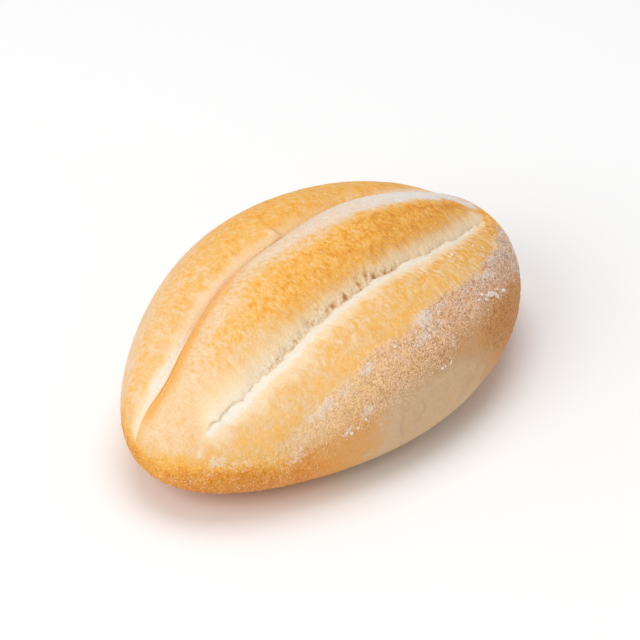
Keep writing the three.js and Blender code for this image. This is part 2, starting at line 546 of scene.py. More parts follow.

# %% [markdown]
# The oven browned the lobes most at the far end. Each lobe has a line for its bake, and the lines blend
# where the creases die out. Beside the film the skin is peach, the front lobe's outer shoulder is gold and
# painted brighter, partly as painted light, and the nose is orange underneath.

# %% How far each lobe has baked
middle_bake = line_over(
    (-75, 0.28), (-60, 0.29), (-50, 0.34), (-40, 0.45), (-30, 0.54),
    (-10, 0.59), (10, 0.66), (30, 0.67), (40, 0.7),
)
front_bake = line_over(
    (-75, 0.4), (-66, 0.4), (-50, 0.33), (-40, 0.34), (-20, 0.39),
    (6, 0.44), (16, 0.37), (30, 0.43), (40, 0.53), (60, 0.58),
)
back_bake = line_over(
    (-75, 0.28), (-66, 0.35), (-50, 0.39), (-30, 0.43), (-20, 0.46), (-10, 0.52), (10, 0.57)
)
seam = line_over((-75, 9), (-66, 5), (-60, 0.6), (60, 0.6), (66, 5), (75, 9))
PEACH_PALER = 0.2
SCORCH_BROWNER = 0.14
NOSE_BROWNER = 0.43

front_half = np.where(middle_lobe, 1, ease(-form[..., 1], -seam, seam))
back_half = np.where(middle_lobe, 1, 1 - front_half)
front_share = front_half * np.where(back_side, 1, ease(-front_gap, -seam, seam))
back_share = back_half * np.where(front_side, 1, ease(-back_gap, -seam, seam))
bake = middle_bake + (front_bake - middle_bake) * front_share + (back_bake - middle_bake) * back_share
bake = bake + 0.05 * patch_noise(9.0, seed=31) + 0.05 * patch_noise(4.0, seed=37)
peach_edge = film_edge + line_over((-60, 3), (-30, 6), (-10, 5), (10, 3))
peach = only(middle_lobe, ease(peach_edge - back_gap, -2, 2))
peach = peach * line_over((-60, 0.3), (-30, 1), (50, 1), (64, 0))
film_scorch = bell(back_gap - film_edge - 3.0, 2.5) * ease(place_along, 10, 30) * middle_lobe
nose_brown = (1 - ease(height, 15, 26)) * (1 - ease(xi, -0.85, -0.5))
bake = bake - PEACH_PALER * peach + SCORCH_BROWNER * film_scorch + NOSE_BROWNER * nose_brown
# Partly painted light: the gold shoulder is also a brighter colour where the front lobe's lower part is
# lit.
lit_gold_shoulder = only(front_side, bell(front_gap - flour_top - 2.5, 4.5))
lit_gold_shoulder = lit_gold_shoulder * line_over(
    (-70, 0), (-60, 0.7), (-45, 0.5), (-35, 0.8), (-10, 0.7), (10, 0.9), (35, 0.5), (45, 0)
)
lit_gold_shoulder = lit_gold_shoulder * (0.8 + 0.5 * patch_noise(3.0, seed=45))
print("palest and brownest bake:", round(float(bake.min()), 2), round(float(bake.max()), 2))

# %% [markdown]
# Low on the sides the crust is plain: golden brown at the near end, beige in the middle, brown at the far
# end, with rough places. The dabs of browning are weaker under flour, so a mask gives their vigour.

# %% Low sides, grit and vigour
low_tone = line_over(
    (-75, 0.08), (-50, 0.1), (-40, 0.22), (-30, 0.4), (-20, 0.5),
    (5, 0.52), (12, 0.57), (20, 0.7), (30, 0.9), (40, 1),
)
back_vigour = line_over((-55, 1.1), (-20, 0.8))
middle_vigour = line_over((-45, 1.3), (-20, 1.1), (0, 1))
front_vigour = line_over((-50, 0.9), (0, 0.95), (25, 1.9))
ROUGH_GRIT = 0.7

low = only(front_side, ease(flour_top - front_gap, 3.0, 13.0))
low = low * ease(xi, -0.97, -0.8) * (1 - ease(xi, 0.86, 0.98))
low = np.maximum(low, 1 - ease(height, 4, 14))
low_brown = bell(front_gap + 34.5, 5.0) * line_over((-25, 0), (0, 0.16), (10, 0.22), (30, 0.1))
low_tone = low_tone + low_brown + 0.06 * patch_noise(6.0, seed=38)
far_rough = ease(place_along, 12, 28) * ease(-front_gap, 18, 26) * (1 - ease(-front_gap, 38, 46))
nose_rough = (1 - ease(height, 14, 24)) * ease(height, 2, 7) * (1 - ease(xi, -0.75, -0.4))
gritty = np.maximum(sandy, ROUGH_GRIT * np.maximum(only(front_side, far_rough), nose_rough))
vigour = line_over((-75, 0.14), (-45, 0.3), (-20, 0.44), (75, 0.48)) * on_top
vigour = vigour * (1 - 0.6 * below_top) * (1 - 0.7 * ease(xi, 0.8, 0.93))
vigour = vigour * np.where(back_side, back_vigour, np.where(front_side, front_vigour, middle_vigour))
print("strongest dabs:", round(float(vigour.max()), 2))

# %% [markdown]
# Beside the front crease the skin tore while it baked. The front lobe's lip runs from white through cream
# to gold, so two lines give those edges, and a pale fork runs on to the nose. The middle lobe's side of
# the tear is greyer crumb, darkest at the crease, where it is partly painted shade.

# %% Front lip and torn flank
FORK_START = np.array([-67.5, -11.2, 27.3])
FORK_END = np.array([-71.0, -12.0, 23.0])
FORK_HALF = 0.9
white_edge = line_over(
    (-68, -2.6), (-58, -4), (-36, -5.2), (-15, -6), (3, -5.4), (15, -6.2),
    (30, -5), (40, -4.8), (50, -3.4), (57, -1), (62, 0.6),
)
cream_edge = line_over(
    (-68, -4), (-58, -6.6), (-36, -9.4), (-15, -8.8), (3, -7.2),
    (15, -8.4), (30, -7), (50, -4.8), (57, -2.6), (62, -1),
)
flank_reach = line_over((-75, 3), (-60, 7), (-45, 6.5), (-30, 5.4), (-10, 5), (10, 5), (35, 5), (56, 4.4))


def distance_from_line(start, end):
    way = end - start
    share = np.clip(((form - start) @ way) / (way @ way), 0, 1)
    return np.linalg.norm(form - start - share[..., None] * way, axis=-1)


white_edge = white_edge + 0.8 * grain_noise(1.4, 4.0, seed=30) + 0.8 * patch_noise(5.0, seed=46)
cream_edge = cream_edge + 1.6 * grain_noise(1.2, 4.0, seed=39) + 1.6 * patch_noise(6.0, seed=47)
front_lip = 0.5 * ease(front_gap - white_edge, -2.2, 2.2) + 0.5 * ease(front_gap - cream_edge, -3.4, 3.0)
front_lip = only(front_side, front_lip) * ease(place_along, -70, -66) * (1 - ease(place_along, 60, 64))
fork = 0.45 * bell(distance_from_line(FORK_START, FORK_END), FORK_HALF)
end_white = 0.8 * bell(place_along + 66.0, 3.0) * bell(front_gap + 0.6, 1.6)
flank_reach = flank_reach * (1 + 0.2 * grain_noise(1.0, 30.0, seed=48))
flank = only(middle_lobe, np.exp(-((np.abs(front_gap) / flank_reach) ** 1.6)))
flank = flank * ease(xi, -0.93, -0.85) * (1 - ease(xi, 0.8, 0.87))
# Partly painted shade: brown crumb that is darkest at the crease, where shade falls.
crumb_and_shade = flank * line_over((-60, 0), (-48, 0.4), (-38, 0.8), (-12, 0.95), (5, 0.8), (20, 0.55), (56, 0.45))
print("torn share of the points:", round(float((flank > 0.3).mean()), 3))

# %% [markdown]
# The back lobe has a narrow pale strip along its crease, whitest towards the near end, where it bends over
# on to the middle lobe. Across from it is a browned rim, with a dark line between: a painted shadow along a
# shallow slit. A notch crosses it, with painted shadow in its cut and a painted highlight on its swell.

# %% Back strip, rim and notch
NOTCH_PLACE = 3.6
BEND_PLACE = -60
BEND_SHIFT = 2.8
strip_whiteness = line_over((-75, 0.2), (-68, 0.5), (-62, 0.7), (-54, 0.85), (-48, 1), (-38, 0))
strip_creaminess = line_over((-75, 1), (-30, 0.95), (0, 0.7), (20, 0.4), (40, 0.3))
line_darkness = line_over((-70, 0), (-62, 0.8), (0, 1), (8, 0))

# The notch cut is also darkened in the crust's colour, a painted shadow, through the crack mask.
notch_cut = bell(place_along - NOTCH_PLACE - 0.3 * back_gap, 0.5) * ease(-back_gap, 0.2, 1.0)
notch_cut = notch_cut * (1 - ease(-back_gap, 2.0, 4.5)) * back_side
notch_swell = bell(place_along - NOTCH_PLACE + 2.6, 1.9) * bell(back_gap + 2.6, 2.2) * back_side
strip_shift = back_gap + 0.9 * patch_noise(3.0, seed=54) + 0.7 * grain_noise(1.0, 2.2, seed=55)
strip_white = 0.5 * ease(strip_shift, -3.4, -1.2) * strip_whiteness
strip_cream = 0.5 * ease(strip_shift, -6.2, -1.2) * strip_creaminess
back_lip = only(back_side, strip_white + strip_cream) * on_top
bend = bell(place_along - BEND_PLACE, np.where(place_along > BEND_PLACE, 11, 6.5))
strip_edge = BEND_SHIFT * bend
strip_across = only(middle_lobe, 0.95 * bend * (1 - ease(back_gap - strip_edge, -0.8, 0.2)))
# Painted highlight: the swell beside the notch is whitened as if light caught it.
lip = np.maximum.reduce([front_lip, back_lip, strip_across, fork, end_white, 0.4 * notch_swell])
past_rim = back_gap - 3.2 - 2.0 * bend
rim = only(middle_lobe, bell(past_rim, np.where(past_rim > 0, 2.7, 6.0)))
rim = rim * (1 - ease(place_along, -20, -9)) * ease(xi, -0.99, -0.9)
# Painted shadow: a dark brown line where shade falls in the back crease, over a shallow slit.
back_shadow_line = bell(back_gap - strip_edge - 0.3, 0.36) * line_darkness
print("lip and rim shares:", round(float((lip > 0.3).mean()), 3), round(float((rim > 0.3).mean()), 3))

# %% [markdown]
# Now the relief that the solid leaves out. The torn edge comes first: the lip's teeth, and the strands,
# pits and ticks of the crumb beside it. Bump wouldn't show in the outline, so they are real shapes.

# %% Teeth, strands and pits
# place along, distance from the front crease, half length, half width, strength
PITS = (
    (11.8, 0.9, 0.9, 0.7, 0.9),
    (8.7, 1.2, 0.8, 0.8, 0.9),
    (4.6, 1.6, 0.7, 1.0, 1.0),
    (2.2, 3.2, 0.6, 0.9, 0.9),
    (-1.9, 2.4, 0.7, 1.4, 1.0),
    (-8.1, 1.3, 0.8, 1.0, 1.0),
    (-13.4, 1.4, 0.8, 0.8, 1.0),
    (-16.0, 1.6, 0.7, 1.0, 0.9),
    (-18.6, 3.6, 0.5, 0.8, 0.7),
    (-21.5, 1.4, 0.5, 0.7, 0.6),
    (-23.6, 1.7, 0.5, 0.8, 0.55),
    (-29.8, 0.9, 0.5, 0.6, 0.6),
    (-35.0, 0.8, 0.5, 0.5, 0.5),
    (-38.3, 0.9, 0.4, 0.5, 0.6),
    (-42.0, 0.7, 0.4, 0.4, 0.5),
)
PIT_RAGGED = 0.6
PIT_RIM = 0.45
PIT_RIM_LONGER = 2.4
PIT_RIM_WIDER = 2

front_strength = crease_strength(FRONT_CREASE, xi)
lip_crest = only(front_side, bell(front_gap + 1.0, 1.0)) * ease(front_strength, 0, 0.5)
lip_teeth = lip_crest * (0.4 * grain_noise(1.6, 9.0, seed=20) + 0.55 * grain_noise(0.8, 9.0, seed=21))
torn = flank * ease(front_strength, 0.1, 0.5)
strands = grain_noise(0.9, 3.0, seed=22) + 0.7 * grain_noise(0.55, 1.6, seed=23)
strands = strands * (0.7 + 0.6 * patch_noise(2.6, seed=49)) + 0.6 * grain_noise(2.1, 2.2, seed=50)
# The pits are real hollows, and the crust's colour also paints their shadow.
pit = np.zeros_like(height)
for x, gap, half_long, half_wide, strength in PITS:
    core = spot_over(middle_lobe, x, gap, half_long, half_wide, PIT_RAGGED)
    longer, wider = PIT_RIM_LONGER * half_long, PIT_RIM_WIDER * half_wide
    around = spot_over(middle_lobe, x, gap, longer, wider, PIT_RAGGED)
    pit = np.maximum(pit, strength * np.maximum(core, PIT_RIM * around))
ticks = only(middle_lobe, bell(front_gap - 0.6, 0.6)) * ease(grain_noise(0.7, 1.2, seed=42), 0.1, 0.5)
ticks = ticks * ease(xi, -0.7, -0.5) * (1 - ease(xi, 0.76, 0.84))
print("pits:", len(PITS), "teeth up to, mm:", round(float(lip_teeth.max()), 2))

# %% [markdown]
# Two small folds run down the front side. The skin of the lobes stretched into low ridges from crease to
# crease, which lean at the far end. Where flour sticks there is grit. The front crease has a slit at its
# foot, and a crack where it dies out.

# %% Folds, ridges, grit and crack
# place along, upper end, lower end, depth
FOLDS = ((-19.2, 21.5, 14.0, 0.24), (-11.2, 21.8, 19.2, 0.18))
FOLD_HALF = 0.4
FOLD_END = 0.8
RIDGE_HEIGHT = 0.05
GRIT_HEIGHT = 0.2
DIMPLE_HEIGHT = 0.16

slant = line_over((-10, 0), (20, 0.15), (50, 0.5))
leaning = along - slant * np.clip(front_gap, 0, front_gap[:, BACK_COLUMN, None])


def leaning_noise(width, length, seed):
    """Grain noise that leans on the far part of the middle lobe."""
    return lattice_noise(np.stack([leaning / width, girth / length], axis=-1), seed)


def wiggle(pitch, seed):
    """Noise that changes along the roll only."""
    return lattice_noise(np.stack([place_along / pitch, np.zeros_like(height)], axis=-1), seed)


fold = np.zeros_like(height)
for fold_x, top, foot, depth in FOLDS:
    bent = place_along - fold_x - 0.5 * np.sin(height)
    below = 1 - ease(height, top - FOLD_END, top + FOLD_END)
    run = ease(height, foot - FOLD_END, foot + FOLD_END) * below
    fold = np.maximum(fold, only(front_side, bell(bent, FOLD_HALF) * run * depth))
ridges = RIDGE_HEIGHT * (leaning_noise(1.0, 3.0, seed=25) + leaning_noise(0.8, 1.4, seed=43))
ridges = ridges * on_top * (1 - 0.7 * lip) * ease(xi, -0.9, -0.3)
grit = GRIT_HEIGHT * (patch_noise(1.1, seed=26) + 0.8 * patch_noise(0.75, seed=27))
grit = grit * np.maximum(gritty, smudge)
dimples = DIMPLE_HEIGHT * patch_noise(11.0, seed=28) * on_top
crack_line = front_gap - 0.5 * wiggle(2.6, seed=40) - 0.3 * wiggle(1.1, seed=41)
# The crack's mask also carries a painted shadow into the crust's colour: grey where shade falls in the
# crack.
crack_and_shadow = bell(crack_line, 0.42) * ease(place_along, -67, -64) * (1 - ease(place_along, -60, -52))
slit = bell(front_gap, 0.5) * ease(front_strength, 0.2, 0.6) * (0.5 + 0.4 * wiggle(4.0, seed=34))
print("folds:", len(FOLDS), "grit up to, mm:", round(float(grit.max()), 2))

# %% [markdown]
# All this moves points along the surface's normal, by about a millimetre at most. Only the slits go
# straight down, and the front crease wanders sideways, as a tear does. The base stays flat.

# %% Crust points
STRAND_HEIGHT = 0.18
TALLEST_STRAND = 0.3
PIT_DEPTH = 0.35
TICK_DEPTH = 0.15
NOTCH_DEPTH = 0.35
SWELL_HEIGHT = 0.5
SMUDGE_HEIGHT = 0.12
CRACK_DEPTH = 0.2
LINE_DEPTH = 0.3
FLAT_BASE = 0.5
WANDER_REACH = 3.0
slit_depth = line_over((-55, 0.05), (-35, 0.25), (-15, 0.45))

relief = lip_teeth + STRAND_HEIGHT * np.minimum(strands, TALLEST_STRAND) * torn
relief = relief - PIT_DEPTH * pit - TICK_DEPTH * ticks - NOTCH_DEPTH * notch_cut
relief = relief + SWELL_HEIGHT * notch_swell - fold + ridges + grit + SMUDGE_HEIGHT * smudge + dimples
relief = np.where(height < FLAT_BASE, 0, relief)
crease_wander = 0.6 * wiggle(4.5, seed=35) + 0.4 * wiggle(1.6, seed=36)
crust_points = form + normals * relief[..., None]
crust_points[..., 1] += crease_wander * bell(front_gap, WANDER_REACH) * ease(front_strength, 0, 0.3)
crust_points[..., 2] -= np.maximum(slit * slit_depth, CRACK_DEPTH * crack_and_shadow) + LINE_DEPTH * back_shadow_line
crust_points[..., 2] = np.maximum(crust_points[..., 2], 0)
print("relief, mm:", round(float(relief.min()), 2), "to", round(float(relief.max()), 2))

# %% [markdown]
# The points become quads between rings, and a fan at each tip. The masks go along as named attributes. An
# unwrapped picture could hold them too, but it would need seams.

# %% Crust mesh
TICK_SHADE = 0.9
CRACK_SHADE = 0.5
FOLD_SHADE = 2.0
FILM_OFF_LINE = 0.8
near_grit = line_over((-70, 0.6), (-35, 0.65), (0, 1))


def crust_faces():
    here = np.arange(RINGS * columns).reshape(RINGS, columns)
    beside = np.roll(here, -1, axis=1)
    quads = np.stack([here[:-1], beside[:-1], beside[1:], here[1:]], axis=-1).reshape(-1, 4)
    near_point = RINGS * columns
    far_point = near_point + 1
    near_fan = [(near_point, int(b), int(a)) for a, b in zip(here[0], beside[0])]
    far_fan = [(far_point, int(a), int(b)) for a, b in zip(here[-1], beside[-1])]
    return quads.tolist() + near_fan + far_fan


def with_tips(values):
    """A grid of values as one list, with each tip given the mean of the ring beside it."""
    flat = values.reshape(RINGS * columns, -1)
    ends = [values[ring].reshape(columns, -1).mean(0) for ring in (0, -1)]
    return np.concatenate([flat, np.stack(ends)])


def add_attribute(mesh, name, data):
    data = data.reshape(len(mesh.vertices), -1)
    kind, field = ("FLOAT_VECTOR", "vector") if data.shape[1] == 3 else ("FLOAT", "value")
    item = mesh.attributes.new(name, kind, "POINT")
    item.data.foreach_set(field, data.astype(np.float32).ravel())


def make_piece(name, points, faces):
    mesh = bpy.data.meshes.new(name)
    mesh.from_pydata((points * MM).tolist(), [], faces)
    mesh.polygons.foreach_set("use_smooth", [True] * len(mesh.polygons))
    piece = add_object(name, mesh)
    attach(piece, "root")
    return piece


MASKS = {
    "bake": bake,
    "vigour": vigour,
    "lit_gold_shoulder": lit_gold_shoulder,
    "low": low,
    "low_tone": np.clip(low_tone, 0, 1),
    "lip": lip,
    "flank": flank,
    # crumb colour, partly painted shade at the crease and in the ticks' shadows
    "crumb_and_shade": np.maximum(crumb_and_shade, TICK_SHADE * ticks),
    "pit": pit,
    # painted shadow: grey in the crack, in the notch cut and along the folds, where shade falls in them
    "crack_and_shadow": np.clip(np.maximum(CRACK_SHADE * np.maximum(crack_and_shadow, notch_cut), FOLD_SHADE * fold), 0, 1),
    "rim": rim,
    "back_shadow_line": back_shadow_line,
    "sandy": sandy,
    "gritty": gritty * near_grit,
    "tone": np.clip(tone, 0, 1),
    "film": np.clip(film * (1 - FILM_OFF_LINE * back_shadow_line), 0, 1),
    "smudge": smudge,
}
crust = make_piece("crust", np.concatenate([crust_points.reshape(-1, 3), tips]), crust_faces())
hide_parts(ROLL_NODE)
add_attribute(crust.data, "way", with_tips(np.stack([leaning, girth, np.zeros_like(along)], axis=-1)))
for name, mask in MASKS.items():
    add_attribute(crust.data, name, with_tips(mask))
print("crust triangles:", sum(len(face.vertices) - 2 for face in crust.data.polygons))

# %% [markdown]
# Node trees read better through small helpers that place a node, fill its sockets, or do one step.

# %% Node helpers
def fill_sockets(tree, node, inputs):
    for key, value in inputs.items():
        if isinstance(value, bpy.types.NodeSocket):
            tree.links.new(value, node.inputs[key])
        else:
            node.inputs[key].default_value = value


def place(tree, kind, inputs=None, **settings):
    node = tree.nodes.new(kind)
    for name, value in settings.items():
        setattr(node, name, value)
    fill_sockets(tree, node, inputs or {})
    return node


def new_group(name, inputs, outputs):
    """A group whose inputs are numbers with a default, or vectors where that is None."""
    tree = bpy.data.node_groups.new(name, "ShaderNodeTree")
    for label, value in inputs.items():
        kind = "NodeSocketVector" if value is None else "NodeSocketFloat"
        socket = tree.interface.new_socket(label, in_out="INPUT", socket_type=kind)
        if value is not None:
            socket.default_value = value
    for label in outputs:
        tree.interface.new_socket(label, in_out="OUTPUT", socket_type="NodeSocketFloat")
    return tree, tree.nodes.new("NodeGroupInput"), tree.nodes.new("NodeGroupOutput")


def use_group(tree, group, inputs):
    node = tree.nodes.new("ShaderNodeGroup")
    node.node_tree = group
    fill_sockets(tree, node, inputs)
    return node.outputs


def srgb(red, green, blue):
    """A screen colour from 0 to 255 as the linear colour that shaders take."""
    shares = [value / 255 for value in (red, green, blue)]
    return (*[(s / 12.92 if s <= 0.04045 else ((s + 0.055) / 1.055) ** 2.4) for s in shares], 1.0)


print("middle grey in a shader:", round(srgb(128, 128, 128)[0], 3))


# %% Node arithmetic
def step(tree, operation, *values, clamp=False):
    inputs = dict(enumerate(values))
    return place(tree, "ShaderNodeMath", inputs, operation=operation, use_clamp=clamp).outputs[0]


def times(tree, first, second):
    return step(tree, "MULTIPLY", first, second)


def scaled(tree, value, factor, added):
    """The value times the factor, plus what is added."""
    return step(tree, "MULTIPLY_ADD", value, factor, added)


def between(tree, value, low, high):
    """A smooth step from 0 at low to 1 at high."""
    inputs = {"Value": value, "From Min": low, "From Max": high}
    return place(tree, "ShaderNodeMapRange", inputs, interpolation_type="SMOOTHSTEP").outputs["Result"]


def noise(tree, vector, scale, detail=2.0, roughness=0.5):
    inputs = {"Vector": vector, "Scale": scale, "Detail": detail, "Roughness": roughness}
    return place(tree, "ShaderNodeTexNoise", inputs).outputs["Fac"]


def even_noise(tree, vector, scale, detail, roughness):
    """Noise that goes as far below nothing as above it."""
    return step(tree, "SUBTRACT", noise(tree, vector, scale, detail, roughness), 0.5)


def mix(tree, share, first, second):
    return place(tree, "ShaderNodeMix", {0: share, 6: first, 7: second}, data_type="RGBA").outputs[2]


def ramp_colour(tree, value, stops):
    node = place(tree, "ShaderNodeValToRGB", {"Fac": value})
    ramp = node.color_ramp
    while len(ramp.elements) < len(stops):
        ramp.elements.new(1.0)
    for element, (position, *levels) in zip(ramp.elements, stops):
        element.position = position
        element.color = srgb(*levels)
    return node.outputs["Color"]


def attribute(tree, name, output="Fac"):
    return place(tree, "ShaderNodeAttribute", attribute_name=name).outputs[output]


def place_in_mm(tree):
    inputs = {0: place(tree, "ShaderNodeTexCoord").outputs["Object"], "Scale": 1 / MM}
    return place(tree, "ShaderNodeVectorMath", inputs, operation="SCALE").outputs[0]


# %% [markdown]
# The skin stretches across each lobe as it rises, so the browning breaks into short dabs from crease to
# crease. Noise squeezed along the roll gives streaks, and cells in the same space break them into dabs.

# %% Stroke group
STREAK_CONTRAST = 2.0
CELL_CONTRAST = 0.25
CELL_SMOOTHNESS = 0.12
BEND_SCALE = 0.3


def make_strokes():
    inputs = {"Way": None, "Width": 0.8, "Length": 2.5}
    tree, start, end = new_group("crust strokes", inputs, ["Stroke"])
    way = start.outputs["Way"]
    apart = place(tree, "ShaderNodeSeparateXYZ", {0: way})
    bent = step(tree, "ADD", noise(tree, way, BEND_SCALE), apart.outputs["X"])
    narrow = step(tree, "DIVIDE", bent, start.outputs["Width"])
    drawn = step(tree, "DIVIDE", apart.outputs["Y"], start.outputs["Length"])
    together = place(tree, "ShaderNodeCombineXYZ", {"X": narrow, "Y": drawn}).outputs[0]
    streak = even_noise(tree, together, 1.0, 3.0, 0.65)
    cells = place(
        tree,
        "ShaderNodeTexVoronoi",
        {"Vector": together, "Scale": 1.0, "Smoothness": CELL_SMOOTHNESS},
        voronoi_dimensions="2D",
        feature="SMOOTH_F1",
    )
    shade = place(tree, "ShaderNodeSeparateXYZ", {0: cells.outputs["Color"]}).outputs["X"]
    dab = times(tree, step(tree, "SUBTRACT", shade, 0.5), CELL_CONTRAST)
    tree.links.new(scaled(tree, streak, STREAK_CONTRAST, dab), end.inputs["Stroke"])
    return tree


STROKES = make_strokes()


def strokes(tree, way, width, length):
    return use_group(tree, STROKES, {"Way": way, "Width": width, "Length": length})["Stroke"]


print("group:", STROKES.name)

# %% [markdown]
# Flour isn't paint. It clings in clots, so its mask is a fine noise that the broad density lets through.
# A second noise gives the light and dark of the grains. The crust and the loose grains both use it.

# %% Flour group
CLOT_EDGE = 0.09
THICKEST_CUT = 0.25
CUT_RANGE = 0.5


def make_flour_group():
    inputs = {"Place": None, "Density": 0.5, "Grain": 0.7}
    tree, start, end = new_group("flour dust", inputs, ["Dust", "Grit"])
    position = start.outputs["Place"]
    fineness = step(tree, "DIVIDE", 1.0, start.outputs["Grain"])
    grit = between(tree, noise(tree, position, fineness, 2.0, 0.7), 0.3, 0.7)
    clots = noise(tree, position, 1.0, 4.0, 0.75)
    missing = step(tree, "SUBTRACT", 1.0, start.outputs["Density"])
    over = step(tree, "SUBTRACT", clots, scaled(tree, missing, CUT_RANGE, THICKEST_CUT))
    tree.links.new(between(tree, over, -CLOT_EDGE, CLOT_EDGE), end.inputs["Dust"])
    tree.links.new(grit, end.inputs["Grit"])
    return tree


FLOUR_GROUP = make_flour_group()


def flour_dust(tree, position, density, grain):
    return use_group(tree, FLOUR_GROUP, {"Place": position, "Density": density, "Grain": grain})


print("group:", FLOUR_GROUP.name)

# %% [markdown]
# The lobes' colour is a ramp from peach to brown, read by how far each place has baked, because real
# crust changes hue as it browns. Strokes and a mottle push it up and down. The low sides have their own.

# %% Baked colour
BAKE_RAMP = (
    (0.0, 242, 214, 176),
    (0.3, 238, 198, 150),
    (0.45, 239, 188, 113),
    (0.62, 243, 177, 75),
    (0.76, 233, 158, 58),
    (0.9, 221, 139, 51),
    (1.0, 190, 112, 44),
)
LOW_RAMP = (
    (0.0, 215, 138, 64),
    (0.1, 231, 152, 70),
    (0.2, 231, 164, 88),
    (0.36, 226, 170, 106),
    (0.5, 218, 185, 148),
    (0.65, 210, 168, 124),
    (0.8, 214, 157, 99),
    (1.0, 214, 148, 84),
)
DAB_PEACH = srgb(251, 217, 170)
SHOULDER_GOLD_AND_LIGHT = srgb(250, 190, 100)
RIM_ORANGE = srgb(240, 172, 80)
MOTTLE_PUSH = 0.62
LOW_MOTTLE = 0.4
DAB_SHARE = 1.2
GOLD_FRAY = 0.35
GOLD_SHARE = 0.95
RIM_SHARE = 0.9


def baked_colour(tree, mask, millimetres, stroke, fine):
    mottle = even_noise(tree, millimetres, 0.3, 4.0, 0.65)
    pushed = scaled(tree, mottle, MOTTLE_PUSH, times(tree, stroke, mask["vigour"]))
    colour = ramp_colour(tree, step(tree, "ADD", pushed, mask["bake"], clamp=True), BAKE_RAMP)
    light = times(tree, between(tree, fine, 0.15, 0.4), mask["vigour"])
    colour = mix(tree, times(tree, light, DAB_SHARE), colour, DAB_PEACH)
    # gold shoulder, partly painted light
    gold = between(tree, scaled(tree, stroke, GOLD_FRAY, mask["lit_gold_shoulder"]), 0.0, 1.0)
    colour = mix(tree, times(tree, gold, GOLD_SHARE), colour, SHOULDER_GOLD_AND_LIGHT)
    colour = mix(tree, times(tree, mask["rim"], RIM_SHARE), colour, RIM_ORANGE)
    low_shade = scaled(tree, mottle, LOW_MOTTLE, mask["low_tone"])
    return mix(tree, mask["low"], colour, ramp_colour(tree, low_shade, LOW_RAMP))


print("shades of bake:", len(BAKE_RAMP), "and of the low sides:", len(LOW_RAMP))

# %% [markdown]
# The creases opened late, so they are pale: a tan and cream flank with brown crumb and pits in it, and a
# lip from cream to white. The crumb's brown is partly painted shade at the crease, and the pits' tan and
# brown, the dark back line and the grey crack are painted shadow. Each is a colour let in by its mask, and
# strokes fray the edges.

# %% Crease colour
FLANK_TAN = srgb(248, 216, 170)
FLANK_PALE = srgb(247, 230, 202)
CRUMB_AND_SHADE_BROWN = srgb(202, 168, 124)
PIT_HALO_SHADE = srgb(214, 168, 114)
PIT_SHADOW_BROWN = srgb(168, 112, 58)
LIP_CREAM = srgb(243, 214, 172)
LIP_WHITE = srgb(238, 229, 212)
LINE_SHADOW_BROWN = srgb(190, 118, 48)
CRACK_SHADOW_GREY = srgb(176, 152, 124)
FLANK_FRAY = 0.25
LIP_FRAY = 0.12
CRUMB_SPECKLE = 1.8
CRUMB_STRANDS = 0.6
CRUMB_AND_SHADE_SHARE = 0.6
PIT_FRAY = 0.5
PIT_HALO_SHADE_SHARE = 0.7
PIT_SHADOW_SHARE = 0.65
LINE_SHADOW_SHARE = 0.85


def crease_colour(tree, mask, way, millimetres, colour, stroke):
    frayed_flank = scaled(tree, stroke, FLANK_FRAY, mask["flank"])
    colour = mix(tree, between(tree, frayed_flank, 0.05, 0.6), colour, FLANK_TAN)
    colour = mix(tree, between(tree, frayed_flank, 0.45, 1.0), colour, FLANK_PALE)
    strand = times(tree, strokes(tree, way, width=0.7, length=3.0), CRUMB_STRANDS)
    rough = scaled(tree, even_noise(tree, millimetres, 1.2, 3.0, 0.7), CRUMB_SPECKLE, strand)
    shade = times(tree, between(tree, rough, -0.3, 0.4), mask["crumb_and_shade"])
    colour = mix(tree, times(tree, shade, CRUMB_AND_SHADE_SHARE), colour, CRUMB_AND_SHADE_BROWN)
    # Painted shade: a tan halo and a brown core stand for the shadow in and around each pit.
    ragged = scaled(tree, rough, PIT_FRAY, mask["pit"])
    colour = mix(tree, times(tree, between(tree, ragged, 0.1, 0.5), PIT_HALO_SHADE_SHARE), colour, PIT_HALO_SHADE)
    colour = mix(tree, times(tree, between(tree, ragged, 0.4, 0.9), PIT_SHADOW_SHARE), colour, PIT_SHADOW_BROWN)
    frayed_lip = scaled(tree, stroke, LIP_FRAY, mask["lip"])
    colour = mix(tree, between(tree, frayed_lip, 0.05, 0.5), colour, LIP_CREAM)
    colour = mix(tree, between(tree, frayed_lip, 0.5, 0.95), colour, LIP_WHITE)
    # painted shadow along the back crease
    colour = mix(tree, times(tree, mask["back_shadow_line"], LINE_SHADOW_SHARE), colour, LINE_SHADOW_BROWN)
    # painted shadow: grey in the crack, the notch cut and the folds
    return mix(tree, mask["crack_and_shadow"], colour, CRACK_SHADOW_GREY)


# %% [markdown]
# Flour lies on top. The film only whitens what is below it. The sand hides it, with a ramp from tan to
# grey and warm painted shade in the hollows between grains. The smudges are nearly white.

# %% Floured colour
SAND_RAMP = (
    (0.0, 255, 210, 147),
    (0.3, 253, 203, 154),
    (0.45, 250, 197, 154),
    (0.7, 238, 190, 155),
    (1.0, 212, 180, 155),
)
FILM_WHITE = srgb(234, 229, 225)
SAND_HOLLOW_SHADE = srgb(205, 128, 76)
FLOUR_WHITE = srgb(240, 224, 212)
FILM_LEAST = 0.45
SAND_GRAIN = 0.8
SAND_SHARE = 0.9
HOLLOW_SHADE_SHARE = 0.46
LOW_SHOWS = 0.5
SMUDGE_GRAIN = 0.4
SMUDGE_LEAST = 0.4
SMUDGE_GRIT = 0.6


